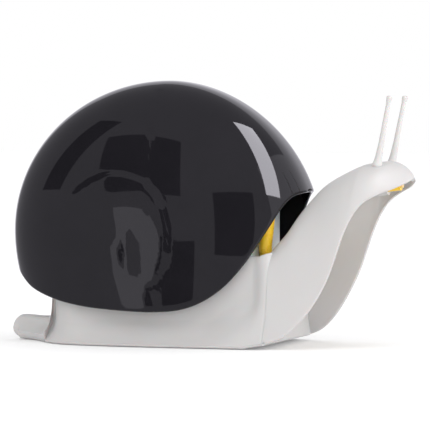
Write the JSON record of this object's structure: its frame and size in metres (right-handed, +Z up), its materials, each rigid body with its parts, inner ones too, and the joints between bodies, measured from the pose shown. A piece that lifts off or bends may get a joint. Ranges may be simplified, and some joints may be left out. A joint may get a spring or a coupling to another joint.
{
  "type": "soap dispenser",
  "caption": "Snail-shaped liquid soap dispenser: the glossy shell is a push button over a bottle pump, and a hose leads the soap to the mouth.",
  "frame": {"origin": "middle of the footprint, on the surface the pads stand on", "axes": "+X the way the snail faces, +Y to its left, +Z up"},
  "size_m": [0.225, 0.088, 0.1407],
  "materials": {
    "shell_black": "polished, near-black ABS",
    "body_white": "fine matte, warm white polypropylene",
    "tentacle_white": "soft matte, warm white",
    "pad_rubber": "dull grey rubber",
    "bottle_white": "milky polyethylene, slightly see-through",
    "pump_white": "smooth white",
    "gasket_rubber": "soft grey",
    "tube_clear": "natural, slightly see-through",
    "valve_steel": "polished ball",
    "piston_grey": "soft grey polyethylene",
    "spring_steel": "drawn wire",
    "hose_yellow": "smooth yellow silicone",
    "clip_white": "matte white",
    "valve_silicone": "soft pale yellow silicone",
    "socket_grey": "plain dark grey"
  },
  "bodies": {
    "base": {"snail_body": "body_white", "anti_slip_pads": "pad_rubber", "left_tentacle": "tentacle_white", "right_tentacle": "tentacle_white", "bottle": "bottle_white", "neck_clip": "clip_white", "mouth_clip": "clip_white", "drip_valve": "valve_silicone", "lower_hose": "hose_yellow"},
    "pump": {"pump_housing": "pump_white", "neck_gasket": "gasket_rubber", "housing_cap": "pump_white", "dip_tube": "tube_clear", "hose_coupler": "pump_white"},
    "valve": {"inlet_ball": "valve_steel"},
    "collar": {"screw_collar": "pump_white"},
    "plunger": {"pump_head": "pump_white", "stem": "pump_white", "piston": "piston_grey", "return_spring": "spring_steel", "upper_hose": "hose_yellow"},
    "cover": {"shell": "shell_black", "press_socket": "socket_grey"}
  },
  "joints": [
    {"name": "collar_turn", "type": "hinge", "parent": "pump", "child": "collar", "pos_m": [-0.022, 0, 0.09], "axis": [0, 0, 1], "range_deg": [0, 540]},
    {"name": "pump_rise", "type": "slide", "parent": "base", "child": "pump", "axis": [0, 0, 1], "range_m": [0, 0.0048], "deforming": ["lower_hose"]},
    {"name": "press", "type": "slide", "parent": "pump", "child": "plunger", "axis": [0, 0, -1], "range_m": [0, 0.006], "stiffness_N_per_m": 800, "springref_m": -0.012, "deforming": ["return_spring", "upper_hose"]},
    {"name": "shell_lift", "type": "slide", "parent": "plunger", "child": "cover", "axis": [0, 0, 1], "range_m": [0, 0.12]},
    {"name": "ball_lift", "type": "slide", "parent": "pump", "child": "valve", "axis": [0, 0, 1], "range_m": [0, 0.0012]}
  ],
  "couplings": [
    {"joint": "collar_turn", "follows": "pump_rise", "rad_per_m": 1963.5}
  ]
}
